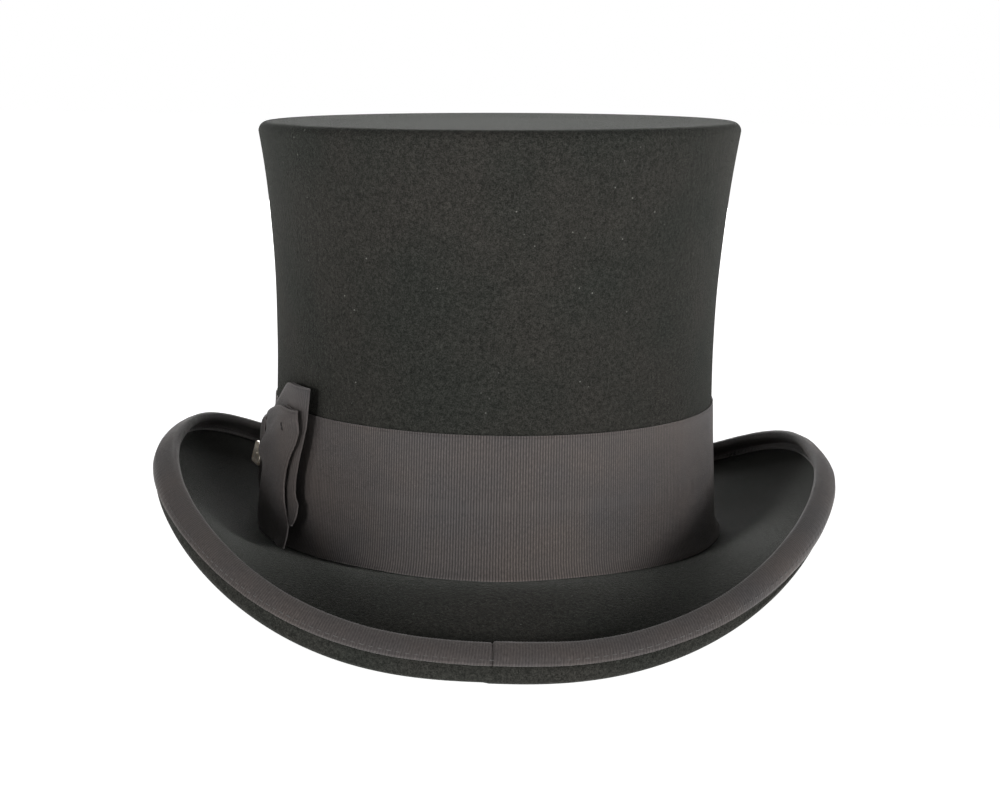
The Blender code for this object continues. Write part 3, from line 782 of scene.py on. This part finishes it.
def hoop_surface(fold, lift, near, far):
    """A ribbon joined end to end, pressed flat and pinched in the middle by the knot.

    fold lists (level, reach) along its end, lift raises its ends, and near and far give its two
    faces' stand offs.
    """
    fold_levels, fold_reaches = np.array(fold).T

    def surface(along_share, across):
        quarter = along_share * 4 % 4
        outside = quarter >= 2
        share = np.where(outside, 3 - quarter, quarter - 1)
        end_level = BAND_MIDDLE + lift + BAND_WIDTH / 2 * (2 * across - 1)
        along = share * np.interp(end_level, fold_levels, fold_reaches)
        half = HOOP_PINCH + (BAND_WIDTH / 2 - HOOP_PINCH) * opened(along)
        slack = 0.0006 * unevenness(4, 70 * along) * opened(along)
        level = BAND_MIDDLE + lift * opened(along) ** 2 + half * (2 * across - 1) + slack
        round_end = np.sqrt(np.clip(1 - np.abs(share) ** 10, 0, 1))
        low, high = near(along, level), far(along, level)
        middle = (low + high) / 2
        curl = 0.0018 * (1 - smooth(across, 0.0, 0.20)) * smooth(np.abs(share), 0.82, 1.0)
        stand_off = middle + np.where(outside, high - middle, low - middle) * round_end + curl
        gather = 0.0003 * np.cos(tau * 4 * across + 1) * (1 - smooth(np.abs(along), 0.008, 0.024))
        crease = 0.0004 * unevenness(9, 60 * along, 110 * level) * opened(along) * round_end
        return on_side(along, level, stand_off + gather + crease)

    return surface


def bow():
    """([back hoop, front hoop, knot, tack that holds the front hoop's corner], knot's length)."""
    layer = RIBBON + GAP

    def flare(along):
        return HOOP_FLARE * smooth(np.abs(along), 0.042, 0.068)

    def back_near(along, level):
        return layer + 0.0004 * opened(along) + flare(along)

    def back_far(along, level):
        puff = 0.0010 * hollow(np.abs(along), level, 0.014, 0.048, 0.014, 0.009)
        return 1.8 * layer + 0.0006 * opened(along) + puff + 1.15 * flare(along)

    def front_near(along, level):
        return 2.6 * layer + 0.0004 * opened(along) + 1.35 * flare(along)

    def front_far(along, level):
        puff = 0.0014 * smooth(np.abs(along), 0.006, 0.030) + 0.0008 * opened(along)
        free = 4 * layer + puff + bow_folds(along, level) + 0.8 * flare(along)
        floor = front_near(along, level) + 0.0003
        return floor + 0.0005 * np.logaddexp(0, (free - floor) / 0.0005)

    back = hoop_surface(BACK_REACH, BACK_LIFT, back_near, back_far)
    front = hoop_surface(FRONT_REACH, FRONT_LIFT, front_near, front_far)
    pieces = [
        ribbon_piece("bow_back_ribbon", back, hoop_length(BACK_REACH), edge_spaced(26), BOW_LOOK),
        ribbon_piece("bow_front_ribbon", front, hoop_length(FRONT_REACH), edge_spaced(26), BOW_LOOK),
    ]
    low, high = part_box("bow_knot")
    middle, half = (low.z + high.z) / 2 - HEADLINE, (high.z - low.z) / 2

    def knot(along_share, across):
        angle = tau * along_share
        edge = np.abs(2 * across - 1)
        along = KNOT_WIDTH * (across - 0.5)
        waist = 1 - 0.08 * (1 - edge**2)
        far = KNOT_DEPTH - 0.0011 * edge**3
        out = np.sign(np.cos(angle)) * np.abs(np.cos(angle)) ** 0.45
        gather = 0.0004 * np.cos(tau * 2.5 * across) * smooth(np.cos(angle), 0.0, 0.6)
        level = middle + half * waist * np.sign(np.sin(angle)) * np.abs(np.sin(angle)) ** 0.6
        return on_side(along, level, layer / 2 + (far - layer / 2) * (1 + out) / 2 - gather)

    wrap = 4 * half + 2 * KNOT_DEPTH
    pieces.append(ribbon_piece("bow_knot_ribbon", knot, wrap, edge_spaced(18), BOW_LOOK))
    tack = front(np.full((8, 1), 0.9745), np.linspace(0.855, 0.885, 8)[:, None])[:, 0]
    tack += np.array([-0.00035, -0.00030, 0.0])
    pieces.append(sew("bow_tack_stitches", tack, 0.0006, BLACK_THREAD_LOOK, closed=False, seed=60))
    return pieces, wrap


def badge():
    """Plain oblong badge with rounded corners, a raised rim and a sunk panel."""
    low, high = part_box("badge_pin")
    rows = []
    for inset, out in ((0.0, 0.0), (0.0, 0.55), (0.0002, 0.9), (0.0005, 1.0), (0.0009, 0.95),
                       (0.0013, 0.55), (0.0020, 0.50), (0.0032, 0.58)):
        angle = np.linspace(0, tau, 64, endpoint=False)
        across = np.sign(np.cos(angle)) * np.abs(np.cos(angle)) ** 0.22
        upward = np.sign(np.sin(angle)) * np.abs(np.sin(angle)) ** 0.22
        rows.append(np.stack([
            np.full(64, -BADGE_PLATE * (out - 0.5)),
            across * (BADGE_WIDTH / 2 - inset),
            upward * (BADGE_HEIGHT / 2 - inset),
        ], axis=-1))
    points = np.stack(rows, axis=1)
    made = grid_piece("badge_plate", points, BRASS_LOOK)
    cap_ends(made)
    turned = Matrix.Rotation(BADGE_TURN, 4, "Z") @ Matrix.Rotation(BADGE_TILT, 4, "Y")
    middle = Vector((low.x + 0.0027, 0, (low.z + high.z) / 2 - 0.0004))
    made.data.transform(Matrix.Translation(middle) @ turned)
    start, end = Vector((low.x + BADGE_PLATE * 1.5, 0, middle.z)), Vector((high.x, 0, middle.z))
    post = cylinder("badge_post", POST_RADIUS, start, end, BRASS_LOOK)
    return [made, post]


def cylinder(name, radius, start, end, material):
    """A slightly tapered pin with softened rims."""
    bm = bmesh.new()
    bmesh.ops.create_cone(bm, cap_ends=True, segments=24, radius1=radius, radius2=radius * 0.85,
                          depth=(end - start).length)
    rims = [e for e in bm.edges if len(e.link_faces) == 2 and e.calc_face_angle() > 1]
    bmesh.ops.bevel(bm, geom=rims, offset=radius * 0.2, segments=2, affect="EDGES")
    turned = (end - start).to_track_quat("Z", "Y").to_matrix().to_4x4()
    bm.transform(Matrix.Translation((start + end) / 2) @ turned)
    mesh = bpy.data.meshes.new(name)
    bm.to_mesh(mesh)
    bm.free()
    mesh.shade_smooth()
    mesh.set_sharp_from_angle(angle=radians(40))
    mesh.materials.append(material)
    made = bpy.data.objects.new(name, mesh)
    bpy.context.scene.collection.objects.link(made)
    return made


# ---------------------------------------------------------------- inside

def sweatband():
    """Leather band, rolled outwards over the reed at its foot, with a soft upper edge."""
    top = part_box("sweatband")[1].z - HEADLINE
    turn = crown_turns(360)[:, None]
    level = np.linspace(-0.0006, top, 20)[None, :]
    sway = 0.0003 * unevenness(14, 3 * turn, 70 * level)
    roll = 0.0004 * (1 - smooth(level, 0.0, 0.003))
    half_width = crown_half_width(np.clip(level, 0, None)) - SWEATBAND_DEPTH - LEATHER / 2
    edge = 0.0003 * smooth(level, top - 0.003, top)
    middle = oval(half_width + sway * smooth(level, 0.006, 0.02) - roll - edge, turn, level)
    thickness = LEATHER * (1 - 0.35 * smooth(level, top - 0.0015, top))
    made = thick_piece("sweatband_leather_band", middle, thickness, LEATHER_LOOK)
    return made, (top + 0.0006, lengths_along(middle[:, 10])[-1])


def sweatband_stitches():
    """Two rows of stitches through the leather's foot."""
    made = []
    for k, level in enumerate(LEATHER_STITCH_LEVELS):
        half_width = crown_half_width(level) - SWEATBAND_DEPTH - LEATHER - 0.00012
        turn = crown_turns(480)
        line = oval(half_width, turn, np.full(len(turn), level))
        name = f"sweatband_stitches_{k + 1}"
        made.append(sew(name, line, LEATHER_STITCH_PITCH, TAN_THREAD_LOOK, seed=40 + k))
    return made


def sweatband_bow():
    """Tiny satin bow on the leather at the wearer's back, over the seam that closes the band."""
    low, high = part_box("sweatband_bow")
    level = (low.z + high.z) / 2 - HEADLINE
    inner = crown_half_width(level) - SWEATBAND_DEPTH - LEATHER - GAP
    half_width, half_height = (high.x - low.x) / 2, (high.z - low.z) / 2

    def surface(share_along, across):
        angle = tau * share_along
        along = half_width * np.cos(angle)
        pinch = 0.38 + 0.62 * smooth(np.abs(np.cos(angle)), 0.05, 0.8)
        off = 0.0002 + 0.0007 * (1 + np.sin(angle)) * smooth(np.abs(np.cos(angle)), 0.0, 0.3)
        turn = -pi / 2 + np.arcsin(along / inner)
        height = level + half_height * pinch * (2 * across - 1)
        return oval(inner - off, turn, height)

    grid = surface(np.arange(96)[:, None] / 96, np.linspace(0, 1, 9)[None, :])
    loops = thick_piece("sweatband_bow_loops", grid, TINY_RIBBON, SATIN_LOOK)
    angle = np.arange(32)[:, None] / 32 * tau
    across = np.linspace(-0.0011, 0.0011, 7)[None, :]
    turn = -pi / 2 + np.arcsin(across / inner)
    height = level + half_height * 0.52 * np.sin(angle)
    band = oval(inner - 0.0009 - 0.0009 * np.cos(angle), turn, height + 0 * across)
    knot = thick_piece("sweatband_bow_knot", band, TINY_RIBBON, SATIN_LOOK)
    return [loops, knot]


def sweatband_seam():
    """Stitched butt seam of the leather at the wearer's back, seen as a row of crossing stitches."""
    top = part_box("sweatband")[1].z - HEADLINE
    level = np.linspace(0.006, top - 0.001, 60)
    zigzag = 0.0007 * (2 * np.abs((level / 0.0022) % 1 * 2 - 1) - 1)
    inner = crown_half_width(level) - SWEATBAND_DEPTH - LEATHER - 0.00010
    line = oval(inner, -pi / 2 + zigzag / inner, level)
    return sew("sweatband_seam", line, SEAM_STITCH_PITCH, TAN_THREAD_LOOK, closed=False, seed=50)


def lining():
    """(satin wall gathered at its top, satin tip, piping, wall's flat size, tip's flat size)."""
    low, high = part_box("lining_side")
    foot, top = low.z - HEADLINE, high.z - HEADLINE
    tip_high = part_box("lining_tip")[1]
    tip_level, tip_half = tip_high.z - HEADLINE - SATIN, tip_high.x
    turn = crown_turns(900)[:, None]
    level = np.linspace(foot, top, 30)[None, :]
    random = np.random.default_rng(31)
    depths = np.append(random.uniform(0.2, 1, LINING_GATHERS), 0.6)
    spots = np.linspace(-pi / 2, 1.5 * pi, LINING_GATHERS + 1)
    folds = np.interp(turn[:, 0], spots, depths)[:, None]
    gather = smooth(level, foot + 0.02, top) * folds * (0.5 - 0.5 * np.cos(turn * LINING_GATHERS))
    inset = 0.0018 * gather + 0.0006 * (1 + unevenness(17, 4 * turn, 60 * level))
    turned_in = crown_half_width(top) - LINING_DEPTH - tip_half - 0.0016
    inset = inset + turned_in * smooth(level, top - 0.006, top)
    half_width = crown_half_width(level) - LINING_DEPTH - SATIN / 2 - inset
    wall = thick_piece("lining_satin_wall", oval(half_width, turn, level), SATIN, SATIN_LOOK)

    share = np.linspace(1, 0.0, 22)[None, :]
    pucker = 0.0005 * np.cos(turn * 60) * smooth(share, 0.72, 1.0)
    waves = 0.0003 * unevenness(18, 3 * turn, 5 * share) * (1 - share)
    sag = 0.0022 * (1 - smooth(share, 0.1, 1.0)) + waves
    tip = oval(tip_half, turn, tip_level - sag + pucker, share)
    tip[:, -1] = tip[:, -1].mean(axis=0)
    panel = thick_piece("lining_satin_tip", tip, SATIN, SATIN_LOOK)

    piping = round_cord("lining_piping_cord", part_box("lining_piping"), SATIN_LOOK)
    round_wall = ring_length(lambda t: oval(crown_half_width(top) - LINING_DEPTH, t, 0.0))
    tip_size = (2 * tip_half, 2 * (tip_half + OVAL_EXTRA))
    return wall, panel, piping, (top - foot, round_wall), tip_size


def round_cord(name, box, material):
    """A cord that follows the crown's oval, as thick as its box is high."""
    low, high = box
    radius = (high.z - low.z) / 2
    level = np.full(480, (low.z + high.z) / 2 - HEADLINE)
    return tube(name, oval(high.x - radius, crown_turns(480), level), radius, material)


# ---------------------------------------------------------------- camera, light and floor

def camera():
    data = bpy.data.cameras.new("camera")
    data.lens = CAMERA_LENS
    data.shift_x = CAMERA_SHIFT
    made = bpy.data.objects.new("camera", data)
    made.matrix_world = (
        Matrix.Translation(CAMERA_PLACE)
        @ Matrix.Rotation(pi / 2 - CAMERA_PITCH, 4, "X")
        @ Matrix.Rotation(CAMERA_ROLL, 4, "Z")
    )
    bpy.context.scene.collection.objects.link(made)
    bpy.context.scene.camera = made


def softbox(name, azimuth, elevation, size, power):
    """A square light that faces the crown."""
    data = bpy.data.lights.new(name, "AREA")
    data.size = size
    data.energy = power
    made = bpy.data.objects.new(name, data)
    around, up = radians(azimuth), radians(elevation)
    away = Vector((np.sin(around) * np.cos(up), -np.cos(around) * np.cos(up), np.sin(up)))
    made.location = LIGHT_TARGET + away * LIGHT_DISTANCE
    made.rotation_euler = (-away).to_track_quat("-Z", "Y").to_euler()
    bpy.context.scene.collection.objects.link(made)


def studio():
    """White surroundings that light the hat only dimly, and softboxes round it."""
    scene = bpy.context.scene
    scene.view_settings.view_transform = "Standard"
    world = bpy.data.worlds.new("studio")
    world.use_nodes = True
    nodes, links = world.node_tree.nodes, world.node_tree.links
    mix = nodes.new("ShaderNodeMixShader")
    links.new(nodes.new("ShaderNodeLightPath").outputs["Is Camera Ray"], mix.inputs["Fac"])
    sources = ((nodes["Background"], AMBIENT), (nodes.new("ShaderNodeBackground"), 1.0))
    for index, (source, strength) in enumerate(sources, start=1):
        source.inputs["Color"].default_value = (1, 1, 1, 1)
        source.inputs["Strength"].default_value = strength
        links.new(source.outputs["Background"], mix.inputs[index])
    links.new(mix.outputs["Shader"], nodes["World Output"].inputs["Surface"])
    scene.world = world
    for light in SOFTBOXES:
        softbox(*light)


def pale_floor():
    mesh = bpy.data.meshes.new("floor")
    bm = bmesh.new()
    bmesh.ops.create_grid(bm, x_segments=1, y_segments=1, size=FLOOR_HALF_SIZE)
    bm.to_mesh(mesh)
    bm.free()
    floor = bpy.data.objects.new("floor", mesh)
    bpy.context.scene.collection.objects.link(floor)
    s = Shader("pale_floor", Roughness=0.9, Emission_Strength=0.97)
    s.surface.inputs["Base Color"].default_value = (0.4, 0.4, 0.4, 1)
    s.surface.inputs["Emission Color"].default_value = (1, 1, 1, 1)
    mesh.materials.append(s.material)


# ---------------------------------------------------------------- assembly

def place(pieces, *nodes):
    """Puts pieces on the hat's one body, in place of these CAD nodes."""
    for piece in pieces:
        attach(piece, "root")
        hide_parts(*nodes)


FELT_LOOK = napped_felt()
# the two numbers after each name are the painted shade between the ribs and the painted highlight on
# their crests
BAND_LOOK = grosgrain("band_grosgrain", 0.42, 1.32, 1.5)
BINDING_LOOK = grosgrain("binding_grosgrain", 0.74, 1.10, 1.15)
BOW_LOOK = grosgrain("bow_grosgrain", 0.66, 1.00, 2.0)
THREAD_LOOK = thread("charcoal_thread", (0.095, 0.090, 0.086))
BLACK_THREAD_LOOK = thread("black_thread", (0.006, 0.006, 0.006))
TAN_THREAD_LOOK = thread("tan_thread", (0.30, 0.19, 0.10))
LEATHER_LOOK = sweatband_leather()
SATIN_LOOK = lining_satin()
BRASS_LOOK = pale_brass()

camera()
studio()
pale_floor()

STITCHES = stitch_tree()
STITCH = grid_piece("stitch", stitch_shape(), THREAD_LOOK, False, True)
cap_ends(STITCH)

place([felt_crown()], "felt_crown")
place([felt_brim()], "felt_brim")

band, band_length = crown_band()
place([band], "crown_band")
binding, binding_size = brim_binding()
place([binding], "brim_binding")
inner_stitches = binding_stitches("binding_stitches_inner", 1, BINDING_INNER)
outer_stitches = binding_stitches("binding_stitches_outer", -1, BINDING_OUTER)
place([inner_stitches], "binding_thread_upper")
place([outer_stitches], "binding_thread_lower")

(back_hoop, front_hoop, knot, tack), knot_length = bow()
place([back_hoop], "bow_back_hoop")
place([front_hoop, tack], "bow_front_hoop")
place([knot], "bow_knot")
place(badge(), "badge_pin")

leather, leather_size = sweatband()
leather_stitches = [*sweatband_stitches(), sweatband_seam()]
place([leather, *leather_stitches], "sweatband")
reed = round_cord("sweatband_reed_cord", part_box("sweatband_reed"), THREAD_LOOK)
place([reed], "sweatband_reed")
place(sweatband_bow(), "sweatband_bow")
lining_wall, lining_panel, piping, wall_size, tip_size = lining()
place([lining_wall], "lining_side")
place([lining_panel], "lining_tip")
place([piping], "lining_piping")
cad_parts["badge_clutch"].data.materials[0] = BRASS_LOOK
bpy.data.objects.remove(STITCH)
